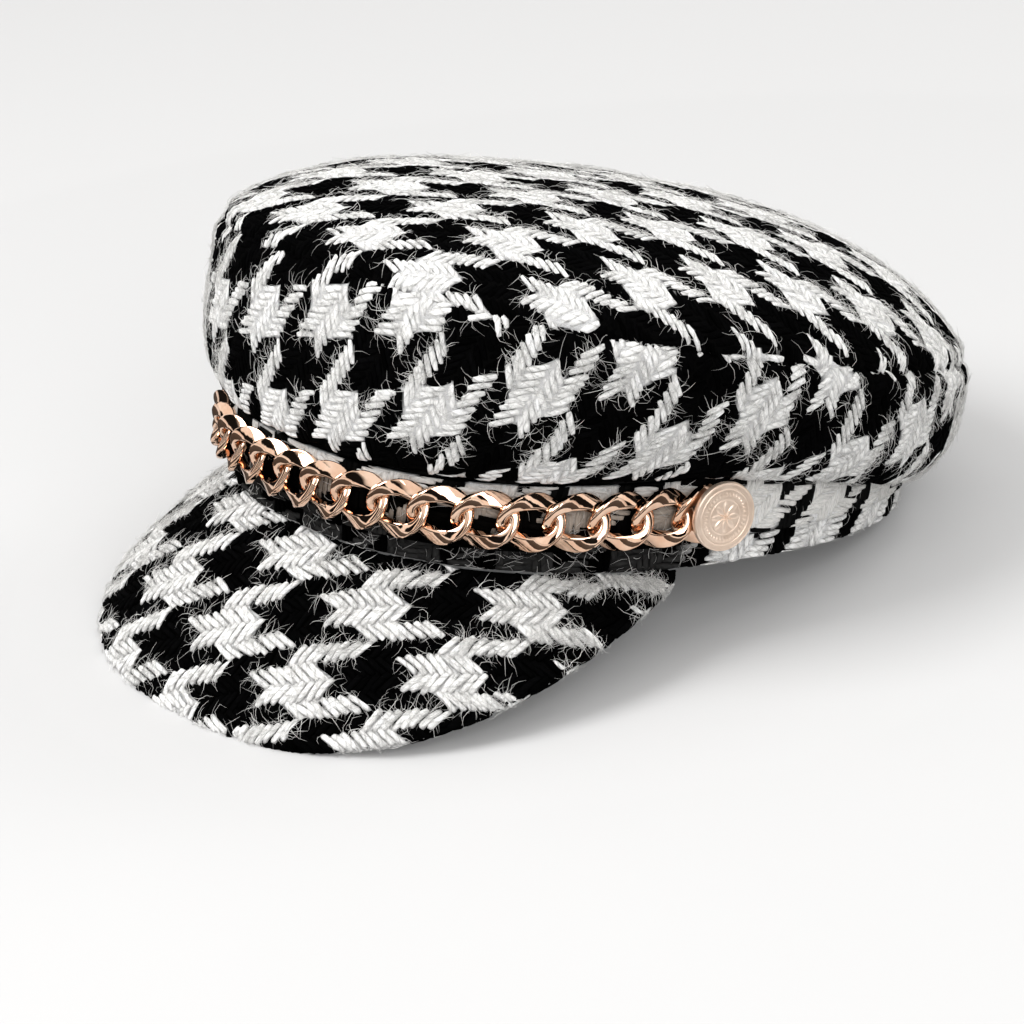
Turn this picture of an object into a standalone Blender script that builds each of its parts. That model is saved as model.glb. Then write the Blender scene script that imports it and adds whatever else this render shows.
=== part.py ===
"""Cadet cap: a soft tweed cap with a low band, a crown of two panels, a stiff peak and a chain between two buttons.

Units are metres and +Z is up. The wearer's front faces -Y and the wearer's left is +X. Every piece is first shaped on
the cap as it is worn, with the band's lower edge in the plane z = 0, and then the whole cap is tipped back on to the
surface that it rests on, where the rear of the band and the front of the peak lie flat.
"""

import math

import bmesh
import bpy
from mathutils import Matrix, Vector

# Head band, measured outside
BAND_LENGTH = 0.198
BAND_WIDTH = 0.1686
BAND_HEIGHT = 0.0270
BAND_DIP = 0.0023  # how much lower its top and the strap sit in the middle of the front
BAND_WALL = 0.0025
BAND_FULLNESS = 2.32  # 2 is an ellipse, and more is squarer

# Strap that runs round the band and carries the chain
STRAP_HEIGHT = 0.0185
STRAP_WALL = 0.0020
STRAP_BELOW_TOP = 0.0006

# Crown: the seam between its two panels, above the band's lower edge and out past the band
CLOTH = 0.0025
SEAM_FRONT_HEIGHT = 0.0770
SEAM_REAR_HEIGHT = 0.0390
SEAM_FRONT_REACH = 0.0056
SEAM_SIDE_REACH = 0.0155
SEAM_REAR_REACH = 0.0149
SEAM_FULLNESS = 2.20
BELLY = 0.0028  # how far the side panel swells past the seam at the front
REAR_SAG = 0.0150  # how far the side panel hangs down over the band at the back
SAG_START = 0.40  # the cosine of the angle at which it starts to hang
SAG_SPREAD = 1.0
DOME_HEIGHT = 0.0295
DOME_LEAN = 0.0090  # how far behind the middle the top's highest point lies
DOME_TIP = 0.16  # how much less the top rises near the front, and more near the back

# Peak
PEAK_LENGTH = 0.0619
PEAK_END_LENGTH = 0.0030
PEAK_WALL = 0.0032
PEAK_STAND = 0.0015  # the short upright stretch where it is sewn to the band
PEAK_HALF_ANGLE = 76.8
PEAK_FRONT_SLOPE = 50.4
PEAK_END_SLOPE = 31.0
PEAK_BOW = 9.0  # how many degrees flatter it starts at the band
PEAK_SWEEP = 0.60  # 1 points its ends straight out from the band, and 0 straight ahead
PEAK_ROUNDNESS = 3  # higher keeps it long over more of the front

# Chain
LINK_LENGTH = 0.0186
LINK_HEIGHT = 0.0162
LINK_PITCH = 0.0126
LINK_ARM_WIDTH = 0.0038
LINK_END_WIDTH = 0.0025
LINK_WIRE_THICKNESS = 0.0021
LINK_TWIST = 0.00135  # how far its arms rise and fall out of its plane

# Buttons
BUTTON_DIAMETER = 0.0190
BUTTON_THICKNESS = 0.0022
BUTTON_RIM = 0.0009
BUTTON_DISH = 0.0005
BUTTON_POST_DIAMETER = 0.0040
BUTTON_ANGLE = 81.0
BUTTON_PAST_LINK = 0.0040  # from the middle of the last link to the post

# Fit and rest
GAP = 0.0003
SETTLE = 0.0010  # how much the soft edges flatten where the cap rests

COLUMNS = 60
PEAK_COLUMNS = 30
BUTTON_SIDES = 32
LINK_SEGMENTS = 14
LINK_SIDES = 6
SHARP_ANGLE = 50

# Each row is one line round the side panel, from the band up to the seam. Rise is the share of the way from the
# band's top to the seam. Front, side and rear are shares of the way out from the strap to the seam there, belly is
# the share of BELLY and sag the share of REAR_SAG.
SIDE_SECTIONS = (
    # name, rise, front, side, rear, belly, sag
    ("bend", 0.000, 0.00, 0.00, 0.00, 0.00, 0.10),
    ("turn_in", 0.012, 0.15, 0.06, 0.02, 0.00, 0.50),
    ("fold_in", 0.024, 0.30, 0.12, 0.04, 0.04, 0.88),
    ("fold", 0.040, 0.45, 0.18, 0.13, 0.12, 1.00),
    ("hem", 0.070, 0.60, 0.30, 0.32, 0.28, 0.99),
    ("under", 0.150, 0.75, 0.55, 0.61, 0.60, 0.86),
    ("belly_low", 0.300, 0.90, 0.82, 0.87, 0.90, 0.62),
    ("belly", 0.520, 1.00, 0.97, 0.98, 1.00, 0.30),
    ("shoulder", 0.780, 1.00, 1.02, 1.02, 0.65, 0.12),
    ("seam", 1.000, 1.00, 1.00, 1.00, 0.00, 0.00),
)

# Rings of the top panel inside the seam: the share of the seam's size, and the share of the dome's height.
TOP_RINGS = ((0.985, 0.09), (0.94, 0.27), (0.86, 0.47), (0.73, 0.68), (0.56, 0.85), (0.36, 0.945), (0.17, 0.99))

# Rows of the peak from the band to its edge, as shares of its length.
PEAK_ROWS = (0.06, 0.20, 0.40, 0.60, 0.80, 0.95, 1.00)

# The button's turned outline from its back to its face: how far in from its edge, in rims, the share of its thickness
# and the share of the dish.
BUTTON_PROFILE = (
    # name, rims, thickness, dish
    ("back", 1.0, 0.0, 0.0),
    ("edge_back", 0.0, 0.3, 0.0),
    ("edge_front", 0.0, 0.8, 0.0),
    ("rim_outside", 0.5, 1.0, 0.0),
    ("rim_inside", 1.0, 1.0, 0.0),
    ("dish", 1.6, 1.0, 1.0),
    ("face", 5.3, 1.0, 0.25),
)

BLACK_AND_WHITE = (0.42, 0.42, 0.41)
ROSE_GOLD = (0.84, 0.58, 0.45)


# Scene and materials
def clear_scene():
    for obj in list(bpy.data.objects):
        bpy.data.objects.remove(obj)


def material(name, color, roughness, metallic=0.0):
    made = bpy.data.materials.new(name)
    made.use_nodes = True
    shader = made.node_tree.nodes["Principled BSDF"]
    shader.inputs["Base Color"].default_value = (*color, 1.0)
    shader.inputs["Roughness"].default_value = roughness
    shader.inputs["Metallic"].default_value = metallic
    return made


def mesh_object(name, bm, finish, parent=None):
    mesh = bpy.data.meshes.new(name)
    bm.to_mesh(mesh)
    bm.free()
    mesh.shade_smooth()
    mesh.set_sharp_from_angle(angle=math.radians(SHARP_ANGLE))
    mesh.materials.append(finish)
    obj = bpy.data.objects.new(name, mesh)
    bpy.context.collection.objects.link(obj)
    obj.parent = parent
    return obj


# Ovals that every ring of the cap follows
def signed_power(value, power):
    return math.copysign(abs(value) ** power, value)


def oval(half_width, half_length, fullness, angle):
    """A point of a full oval, where angle 0 is the middle of the front and 90 degrees the wearer's left."""
    x = half_width * signed_power(math.sin(angle), 2 / fullness)
    y = -half_length * signed_power(math.cos(angle), 2 / fullness)
    return Vector((x, y, 0))


def band_point(angle, reach=0.0, height=0.0):
    """A point on the band's outside, moved out by reach."""
    point = oval(BAND_WIDTH / 2 + reach, BAND_LENGTH / 2 + reach, BAND_FULLNESS, angle)
    return point + Vector((0, 0, height))


def round_angles(count):
    return [2 * math.pi * i / count for i in range(count)]


def between_angles(first, last, count):
    return [first + (last - first) * i / count for i in range(count + 1)]


# Skins: rows of points bridged into one open surface
def bridge_rows(bm, rows, closed):
    """Faces between each row of vertices and the next. Rows run bottom to top, and columns anticlockwise from above."""
    for low, high in zip(rows, rows[1:]):
        count = len(low)
        for i in range(count if closed else count - 1):
            j = (i + 1) % count
            bm.faces.new((low[i], low[j], high[j], high[i]))


def add_rows(bm, rows):
    return [[bm.verts.new(point) for point in row] for row in rows]


def thicken(obj, wall):
    """Gives the skin a wall of even thickness, half of it on each side."""
    solid = obj.modifiers.new("wall", "SOLIDIFY")
    solid.thickness = wall
    solid.offset = 0
    solid.use_even_offset = True
    solid.use_rim = True


def apply_modifiers(obj):
    graph = bpy.context.evaluated_depsgraph_get()
    mesh = bpy.data.meshes.new_from_object(obj.evaluated_get(graph))
    obj.modifiers.clear()
    obj.data = mesh


def wall_round_band(name, middle_reach, wall, lows, highs, finish, parent):
    """A wall that follows the band, between a lower and an upper height at each column."""
    columns = round_angles(COLUMNS)
    rows = [[band_point(a, middle_reach, z) for a, z in zip(columns, heights)] for heights in (lows, highs)]
    bm = bmesh.new()
    bridge_rows(bm, add_rows(bm, rows), closed=True)
    obj = mesh_object(name, bm, finish, parent)
    thicken(obj, wall)
    return obj


# Head band and strap
def band_top(angle):
    return BAND_HEIGHT - BAND_DIP * max(math.cos(angle), 0)


def head_band(finish, parent):
    lows = [0.0] * COLUMNS
    highs = [band_top(a) for a in round_angles(COLUMNS)]
    return wall_round_band("head_band", -BAND_WALL / 2, BAND_WALL, lows, highs, finish, parent)


def strap_middle(angle):
    return band_top(angle) - STRAP_BELOW_TOP - STRAP_HEIGHT / 2


def hat_strap(finish, parent):
    middles = [strap_middle(a) for a in round_angles(COLUMNS)]
    lows = [z - STRAP_HEIGHT / 2 for z in middles]
    highs = [z + STRAP_HEIGHT / 2 for z in middles]
    return wall_round_band("hat_strap", GAP + STRAP_WALL / 2, STRAP_WALL, lows, highs, finish, parent)


# Crown
def seam_height(y):
    """The seam lies in one plane, which falls from the front to the back."""
    front = -(BAND_LENGTH / 2 + SEAM_FRONT_REACH)
    rear = BAND_LENGTH / 2 + SEAM_REAR_REACH
    return SEAM_FRONT_HEIGHT + (SEAM_REAR_HEIGHT - SEAM_FRONT_HEIGHT) * (y - front) / (rear - front)


def crown_ring(angle, front, side, rear, fullness, share=1.0):
    """A point of a crown ring, out past the band by front, side and rear, shrunk towards its middle by share."""
    middle = (rear - front) / 2
    half_length = BAND_LENGTH / 2 + (front + rear) / 2
    point = oval(BAND_WIDTH / 2 + side, half_length, fullness, angle) * share
    return point + Vector((0, middle, 0))


def seam_point(angle, share=1.0):
    point = crown_ring(angle, SEAM_FRONT_REACH, SEAM_SIDE_REACH, SEAM_REAR_REACH, SEAM_FULLNESS, share)
    point.z = seam_height(point.y)
    return point


def side_row(section, angle):
    """One point of the side panel's middle surface."""
    _, rise, front, side, rear, belly, sag = section
    ahead = max(math.cos(angle), 0.0)
    swell = BELLY * belly * ahead
    start = over_strap()
    point = crown_ring(
        angle,
        start + (SEAM_FRONT_REACH - start) * front + swell,
        start + (SEAM_SIDE_REACH - start) * side + swell,
        start + (SEAM_REAR_REACH - start) * rear + swell,
        BAND_FULLNESS + (SEAM_FULLNESS - BAND_FULLNESS) * rise,
    )
    top = seam_height(point.y)
    floor = above_band(angle)
    hang = REAR_SAG * smooth_step((SAG_START - math.cos(angle)) / SAG_SPREAD)
    point.z = floor + (top - floor) * rise - hang * sag
    return point


def smooth_step(share):
    share = min(max(share, 0.0), 1.0)
    return share * share * (3 - 2 * share)


def above_band(angle):
    return band_top(angle) + GAP + CLOTH / 2


def strap_reach():
    return GAP + STRAP_WALL


def over_strap():
    return strap_reach() + GAP + CLOTH / 2


def top_point(angle, share, rise):
    height = DOME_HEIGHT * rise * (1 - DOME_TIP * share * math.cos(angle))
    return seam_point(angle, share) + Vector((0, DOME_LEAN * (1 - share), height))


def crown_rows():
    """The rows of the crown's middle surface, from where it is sewn to the band up to the last ring of its top."""
    columns = round_angles(COLUMNS)
    rows = [[band_point(a, reach, above_band(a)) for a in columns] for reach in (-BAND_WALL / 2, strap_reach())]
    rows += [[side_row(section, a) for a in columns] for section in SIDE_SECTIONS]
    rows += [[top_point(a, share, rise) for a in columns] for share, rise in TOP_RINGS]
    return rows


def close_top(bm, ring, point):
    middle = bm.verts.new(point)
    for i, vert in enumerate(ring):
        bm.faces.new((vert, ring[(i + 1) % len(ring)], middle))


def skin_normals(rows, middle):
    """The direction out of the whole skin at each point of its rows."""
    bm = bmesh.new()
    rings = add_rows(bm, rows)
    bridge_rows(bm, rings, closed=True)
    close_top(bm, rings[-1], middle)
    bm.normal_update()
    normals = [[vert.normal.copy() for vert in ring] for ring in rings]
    bm.free()
    return normals


def crown_panel(name, rows, normals, middle, finish, parent):
    """A closed wall round some of the crown's rows. It is closed over the top where a middle point is given."""
    bm = bmesh.new()
    sides = []
    for offset in (CLOTH / 2, -CLOTH / 2):
        moved = [[p + out * offset for p, out in zip(row, outwards)] for row, outwards in zip(rows, normals)]
        rings = add_rows(bm, moved)
        bridge_rows(bm, rings, closed=True)
        if middle:
            close_top(bm, rings[-1], middle + Vector((0, 0, offset)))
        sides.append(rings)
    outside, inside = sides
    bridge_rows(bm, [inside[0], outside[0]], closed=True)
    if not middle:
        bridge_rows(bm, [outside[-1], inside[-1]], closed=True)
    bmesh.ops.recalc_face_normals(bm, faces=bm.faces)
    return mesh_object(name, bm, finish, parent)


def crown(finish, parent):
    """Both panels. Their edges meet along the seam with a small gap between them."""
    rows = crown_rows()
    middle = top_point(0, 0, 1)
    normals = skin_normals(rows, middle)
    seam = len(rows) - len(TOP_RINGS) - 1
    apart = [(high - low).normalized() * GAP / 2 for low, high in zip(rows[seam - 1], rows[seam + 1])]
    low_edge = [point - half for point, half in zip(rows[seam], apart)]
    high_edge = [point + half for point, half in zip(rows[seam], apart)]
    crown_panel("crown_side", rows[:seam] + [low_edge], normals, None, finish, parent)
    crown_panel("crown_top", [high_edge] + rows[seam + 1 :], normals[seam:], middle, finish, parent)


# Peak
def peak_length(angle):
    share = abs(angle) / math.radians(PEAK_HALF_ANGLE)
    return PEAK_END_LENGTH + (PEAK_LENGTH - PEAK_END_LENGTH) * max(1 - share**PEAK_ROUNDNESS, 0)


def peak_point(angle, row):
    """A point of the peak's middle surface, where row is the share of the way from the band to the edge."""
    share = abs(angle) / math.radians(PEAK_HALF_ANGLE)
    slope = PEAK_FRONT_SLOPE + (PEAK_END_SLOPE - PEAK_FRONT_SLOPE) * share**2 + PEAK_BOW * (row - 1)
    slope = math.radians(slope)
    ahead = Vector((math.sin(PEAK_SWEEP * angle), -math.cos(PEAK_SWEEP * angle), 0))
    start = band_point(angle, -PEAK_WALL / 2, -GAP - PEAK_STAND)
    return start + (ahead * math.cos(slope) - Vector((0, 0, math.sin(slope)))) * peak_length(angle) * row


def peak(finish, parent):
    half = math.radians(PEAK_HALF_ANGLE)
    columns = between_angles(-half, half, PEAK_COLUMNS)
    rows = [[peak_point(a, row) for a in columns] for row in reversed(PEAK_ROWS)]
    rows.append([band_point(a, -PEAK_WALL / 2, -GAP - PEAK_STAND) for a in columns])
    rows.append([band_point(a, -PEAK_WALL / 2, -GAP) for a in columns])
    bm = bmesh.new()
    bridge_rows(bm, add_rows(bm, rows), closed=False)
    obj = mesh_object("peak", bm, finish, parent)
    thicken(obj, PEAK_WALL)
    return obj


# Chain and buttons
def chain_reach():
    """From the band's outside to the middle of the chain's thickness."""
    return strap_reach() + GAP + LINK_TWIST + LINK_WIRE_THICKNESS / 2


def along_band(angle, reach, height):
    """A frame on the band: X along it to the wearer's left, Y up, Z straight out."""
    step = 1e-4
    run = (band_point(angle + step, reach) - band_point(angle - step, reach)).normalized()
    up = Vector((0, 0, 1))
    turn = Matrix((run, up, run.cross(up))).transposed().to_4x4()
    return Matrix.Translation(band_point(angle, reach, height)) @ turn


def angle_at(length, reach):
    """The angle reached after going this far round the band from the middle of the front."""
    step = math.radians(0.25)
    angle, gone = 0.0, 0.0
    here = band_point(angle, reach)
    while gone < abs(length):
        there = band_point(angle + step, reach)
        run = (there - here).length
        if gone + run > abs(length):
            return math.copysign(angle + step * (abs(length) - gone) / run, length)
        angle, gone, here = angle + step, gone + run, there
    return 0.0


def length_to(angle, reach):
    steps = 400
    points = [band_point(angle * i / steps, reach) for i in range(steps + 1)]
    return sum((b - a).length for a, b in zip(points, points[1:]))


def link_mesh():
    """One curb link lying in its own XY plane: the ring is twisted so that each passes through the next."""
    bm = bmesh.new()
    rings = []
    half_length = (LINK_LENGTH - LINK_END_WIDTH) / 2
    half_height = (LINK_HEIGHT - LINK_ARM_WIDTH) / 2
    half_wire = LINK_WIRE_THICKNESS / 2 / math.sin(math.pi / 3)
    for t in round_angles(LINK_SEGMENTS):
        centre = Vector((half_length * math.cos(t), half_height * math.sin(t), -LINK_TWIST * math.sin(2 * t)))
        along = Vector((-half_length * math.sin(t), half_height * math.cos(t), -2 * LINK_TWIST * math.cos(2 * t)))
        outwards = along.cross(Vector((0, 0, 1))).normalized()
        face = outwards.cross(along).normalized()
        half_width = (LINK_END_WIDTH + (LINK_ARM_WIDTH - LINK_END_WIDTH) * math.sin(t) ** 2) / 2
        turns = round_angles(LINK_SIDES)
        ring = [centre + outwards * half_width * math.cos(a) + face * half_wire * math.sin(a) for a in turns]
        rings += add_rows(bm, [ring])
    bridge_rows(bm, rings + rings[:1], closed=True)
    bmesh.ops.recalc_face_normals(bm, faces=bm.faces)
    return bm


def chain(finish, parent):
    reach = chain_reach()
    half_run = length_to(math.radians(BUTTON_ANGLE), reach) - BUTTON_PAST_LINK
    count = round(2 * half_run / LINK_PITCH) + 1
    pitch = 2 * half_run / (count - 1)
    for i in range(count):
        angle = angle_at(-half_run + pitch * i, reach)
        link = mesh_object(f"chain_link_{i + 1:02d}", link_mesh(), finish, parent)
        link.matrix_local = along_band(angle, reach, strap_middle(angle))


def button_outline():
    """Radius and height of the turned outline, from the post's foot up to the face."""
    radius, post = BUTTON_DIAMETER / 2, BUTTON_POST_DIAMETER / 2
    back = 2 * LINK_TWIST + LINK_WIRE_THICKNESS + GAP
    outline = [(post, 0.0), (post, back)]
    for _, rims, thickness, dish in BUTTON_PROFILE:
        outline.append((radius - BUTTON_RIM * rims, back + BUTTON_THICKNESS * thickness - BUTTON_DISH * dish))
    return outline


def button(name, side, finish, parent):
    bm = bmesh.new()
    turn = round_angles(BUTTON_SIDES)
    outline = button_outline()
    rings = add_rows(bm, [[Vector((r * math.cos(a), r * math.sin(a), z)) for a in turn] for r, z in outline])
    bridge_rows(bm, rings, closed=True)
    bm.faces.new(list(reversed(rings[0])))
    close_top(bm, rings[-1], Vector((0, 0, outline[-1][1])))
    bmesh.ops.recalc_face_normals(bm, faces=bm.faces)
    obj = mesh_object(name, bm, finish, parent)
    angle = side * math.radians(BUTTON_ANGLE)
    obj.matrix_local = along_band(angle, strap_reach() + GAP, strap_middle(angle))


# How the cap rests
def rest_tilt(visor):
    """The cap leans back until the rear of its band and the front of its peak touch one plane."""
    return max(math.atan2(-vert.co.z, BAND_LENGTH / 2 - vert.co.y) for vert in visor.data.vertices)


def flatten_on_rest_plane(obj, tilt):
    """Moves the points that would lie below the rest plane straight on to it."""
    up = Vector((0, -math.sin(tilt), math.cos(tilt)))
    level = up.y * BAND_LENGTH / 2 + SETTLE
    for vert in obj.data.vertices:
        below = level - vert.co.dot(up)
        if below > 0:
            vert.co += up * below


def world_bounds():
    graph = bpy.context.evaluated_depsgraph_get()
    points = []
    for obj in bpy.context.scene.objects:
        if obj.type == "MESH":
            shape = obj.evaluated_get(graph)
            points += [shape.matrix_world @ vert.co for vert in shape.data.vertices]
    low = [min(p[i] for p in points) for i in range(3)]
    high = [max(p[i] for p in points) for i in range(3)]
    return low, high


def main():
    clear_scene()
    tweed = material("tweed", BLACK_AND_WHITE, 0.95)
    metal = material("rose_gold", ROSE_GOLD, 0.18, 1.0)
    cap = bpy.data.objects.new("cap", None)
    bpy.context.collection.objects.link(cap)

    band = head_band(tweed, cap)
    hat_strap(tweed, cap)
    crown(tweed, cap)
    visor = peak(tweed, cap)
    chain(metal, cap)
    button("button_left", 1, metal, cap)
    button("button_right", -1, metal, cap)

    for soft in (band, visor):
        apply_modifiers(soft)
    tilt = rest_tilt(visor)
    for soft in (band, visor):
        flatten_on_rest_plane(soft, tilt)
    cap.rotation_euler.x = -tilt
    bpy.context.view_layer.update()
    low, high = world_bounds()
    cap.location = (0, -(low[1] + high[1]) / 2, -low[2])


main()
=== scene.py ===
# %% [markdown]
# A tweed cadet cap
#
# The cap is soft cloth over a stiff peak, with a curb chain between two round buttons. Its looks come from
# thick tweed yarns, loose wool fibres and polished rose gold. Colour on a smooth surface would show none of
# these at this scale, so yarns and fibres are real geometry.

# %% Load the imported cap
import math

import bpy
import numpy as np
from mathutils import Matrix, Vector


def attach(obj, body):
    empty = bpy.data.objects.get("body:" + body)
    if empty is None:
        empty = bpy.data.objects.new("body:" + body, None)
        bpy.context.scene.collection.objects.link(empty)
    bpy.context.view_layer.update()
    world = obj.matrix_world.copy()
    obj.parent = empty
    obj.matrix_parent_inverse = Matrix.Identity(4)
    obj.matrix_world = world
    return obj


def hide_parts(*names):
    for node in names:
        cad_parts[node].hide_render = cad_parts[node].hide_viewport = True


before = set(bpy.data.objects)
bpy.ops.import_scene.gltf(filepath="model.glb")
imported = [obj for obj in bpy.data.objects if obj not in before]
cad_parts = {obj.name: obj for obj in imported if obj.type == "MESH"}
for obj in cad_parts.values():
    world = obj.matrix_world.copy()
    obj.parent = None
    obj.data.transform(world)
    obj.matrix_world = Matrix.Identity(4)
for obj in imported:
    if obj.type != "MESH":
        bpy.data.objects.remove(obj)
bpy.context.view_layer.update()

# %% [markdown]
# How the cap lies, and the camera
#
# The cap leans on the rear of its band and the front edge of its peak. All cloth is worked out in the cap's
# own frame, where the band stands upright, and one matrix then lays it down. The camera stands where the
# photo was taken from: in front, on the wearer's left, a little above the cap.

# %% The cap's frame and the camera
CAP_LEAN, CAP_PLACE = math.radians(12.1124), (0, 0.01228, 0.019773)
CAP = Matrix.Translation(CAP_PLACE) @ Matrix.Rotation(-CAP_LEAN, 4, "X")
CAP_TURN = np.array(CAP.to_3x3())
CAP_SHIFT = np.array(CAP.translation)

CAMERA_TURN, CAMERA_RISE, CAMERA_ROLL = (math.radians(a) for a in (51.005, 16.609, 3.946))
CAMERA_AWAY, CAMERA_LEFT, CAMERA_BELOW, CAMERA_UP = 1.1428, 0.019934, 0.051686, 0.043677
CAMERA_FOCUS, PHOTO_SIZE = 3902.4, 1024


def lay(points):
    """Points of the cap's own frame, laid down where the cap rests."""
    return np.asarray(points) @ CAP_TURN.T + CAP_SHIFT


def add_camera():
    sin, cos = math.sin, math.cos
    flat = cos(CAMERA_RISE)
    back = Vector((sin(CAMERA_TURN) * flat, -cos(CAMERA_TURN) * flat, sin(CAMERA_RISE)))
    level = Vector((cos(CAMERA_TURN), sin(CAMERA_TURN), 0))
    upright = back.cross(level)
    right = level * cos(CAMERA_ROLL) + upright * sin(CAMERA_ROLL)
    up = upright * cos(CAMERA_ROLL) - level * sin(CAMERA_ROLL)
    eye = Vector((0, 0, CAMERA_UP)) + back * CAMERA_AWAY - right * CAMERA_LEFT - up * CAMERA_BELOW
    turn = Matrix((right, up, back)).transposed().to_4x4()
    camera = bpy.data.objects.new("camera", bpy.data.cameras.new("camera"))
    bpy.context.collection.objects.link(camera)
    camera.matrix_world = CAP @ Matrix.Translation(eye) @ turn
    camera.data.lens = CAMERA_FOCUS / PHOTO_SIZE * camera.data.sensor_width
    camera.data.clip_start = 0.05
    camera.data.clip_end = 50
    bpy.context.scene.camera = camera
    return camera


camera = add_camera()
print("camera lens:", round(camera.data.lens, 1), "mm, height:", round(camera.matrix_world.translation.z, 3))

# %% [markdown]
# Shader maths
#
# A material is a tree of nodes. Adding and joining them one by one hides the idea, so a small class wraps a
# socket and lets shader maths read as plain sums and products.

# %% The wire and the finish
class Wire:
    """A number in a material, which Python's own signs add, subtract and multiply."""

    def __init__(self, finish, socket):
        self.finish = finish
        self.socket = socket

    def __add__(self, other):
        return self.finish.maths("ADD", self, other)

    def __sub__(self, other):
        return self.finish.maths("SUBTRACT", self, other)

    def __rsub__(self, other):
        return self.finish.maths("SUBTRACT", other, self)

    def __mul__(self, other):
        return self.finish.maths("MULTIPLY", self, other)

    __radd__ = __add__
    __rmul__ = __mul__


class Finish:
    def __init__(self, owner):
        owner.use_nodes = True
        self.owner = owner
        self.tree = owner.node_tree
        self.tree.nodes.clear()

    def node(self, kind, settings=None, sockets=None, output=0):
        """Adds a node: its settings first, then the values or wires of its sockets. Returns one output."""
        made = self.tree.nodes.new("ShaderNode" + kind)
        for name, value in (settings or {}).items():
            setattr(made, name, value)
        for name, value in (sockets or {}).items():
            if isinstance(value, Wire):
                self.tree.links.new(value.socket, made.inputs[name])
            else:
                made.inputs[name].default_value = value
        return Wire(self, made.outputs[output]) if made.outputs else made

    def maths(self, operation, *values):
        return self.node("Math", {"operation": operation}, dict(enumerate(values)))

    def noise(self, place, scale, detail, **more):
        return self.node("TexNoise", {}, {"Vector": place, "Scale": scale, "Detail": detail, **more})

    def step(self, value, low, high):
        """Goes smoothly from nought to one while the value goes from low to high."""
        return self.node("MapRange", {"interpolation_type": "SMOOTHSTEP"},
                         {"Value": value, "From Min": low, "From Max": high})

    def split(self, vector):
        first = self.node("SeparateXYZ", {}, {"Vector": vector})
        return [Wire(self, output) for output in first.socket.node.outputs]

    def colour(self, red, green, blue):
        return self.node("CombineColor", {}, {"Red": red, "Green": green, "Blue": blue})

    def blend(self, amount, stops):
        wire = self.node("ValToRGB", {}, {"Fac": amount})
        for element, (place, colour) in zip(wire.socket.node.color_ramp.elements, stops):
            element.position = place
            element.color = (*colour, 1)
        return wire

    def bump(self, height, depth):
        return self.node("Bump", {}, {"Strength": 1.0, "Distance": depth, "Height": height})

    def surface(self, **sockets):
        values = {name.replace("_", " "): value for name, value in sockets.items()}
        shader = self.node("BsdfPrincipled", {}, values)
        self.node("OutputMaterial", {}, {"Surface": shader})
        return self.owner


# %% [markdown]
# Tweed yarn, backing cloth and loose wool
#
# Each yarn carries its own dye as a colour attribute, so one material serves black and white. The attribute
# also holds painted shade: darker float ends, and painted shadow under the chain. Thick woollen yarn is matt,
# twisted from plies, with fine fibres along it. A stretched noise on the yarn's own UV map gives the fibres,
# and slanting stripes on the same map give the grooves between the plies, sunk by the bump and painted
# darker as painted shade.

# %% The wool materials
FIBRE_STRETCH, FIBRE_SLANT = 0.35, 0.35
FIBRE_CONTRAST, FIBRE_DARKEST = 1.5, 0.24
PLIES_ALONG, PLIES_ROUND, PLIES_UNEVEN = 2.1, 1.35, 0.5
PLY_GROOVE_WIDTH = 0.17


def wool(name, fibre_scale, depth, groove_shade_and_bump=0.0):
    finish = Finish(bpy.data.materials.new(name))
    dye = finish.node("Attribute", {"attribute_name": "dye"})
    strand = finish.node("UVMap", {"uv_map": "yarn"})
    scale = (fibre_scale * FIBRE_STRETCH, fibre_scale, 1)
    run = finish.node("Mapping", {}, {"Vector": strand, "Scale": scale, "Rotation": (0, 0, FIBRE_SLANT)})
    fibres = finish.noise(run, 1.0, 4.0, Roughness=0.65)
    along, around, _ = finish.split(strand)
    turns = along * PLIES_ALONG + around * PLIES_ROUND + fibres * PLIES_UNEVEN
    ply = finish.step(finish.maths("PINGPONG", turns, 0.5), 0.0, PLY_GROOVE_WIDTH)
    # Painted shade: the grooves between the plies are darkened in the colour, as well as sunk by the bump.
    shade = (fibres * FIBRE_CONTRAST + FIBRE_DARKEST) * (ply * groove_shade_and_bump + (1 - groove_shade_and_bump))
    colour = finish.node("Mix", {"data_type": "RGBA", "blend_type": "MULTIPLY"},
                         {"Factor": 1.0, 6: dye, 7: finish.colour(shade, shade, shade)}, 2)
    bump = finish.bump(fibres + ply * groove_shade_and_bump, depth)
    return finish.surface(Base_Color=colour, Roughness=0.95, Normal=bump, Specular_IOR_Level=0.01)


yarn_wool = wool("tweed_yarn", 8.0, 0.0006, groove_shade_and_bump=0.26)
backing_wool = wool("tweed_backing", 9.0, 0.0005)
pressed_wool = wool("pressed_tweed", 9.0, 0.0004)
fuzz = Finish(bpy.data.materials.new("loose_wool"))
fuzz_dye = fuzz.node("Attribute", {"attribute_name": "dye"})
fuzz_wool = fuzz.surface(Base_Color=fuzz_dye, Roughness=0.8, Specular_IOR_Level=0.2)
print("wool materials:", [m.name for m in (yarn_wool, backing_wool, pressed_wool, fuzz_wool)])

# %% [markdown]
# The cap's cloth as tables of points
#
# These are the sizes and curves that the CAD solids were made from. Each panel of cloth becomes a dense table
# of points: columns go round the cap, and rows go along the cloth. A yarn or a fibre is then placed by how
# far round and how far along it lies, and how high it stands above the cloth.

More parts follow.
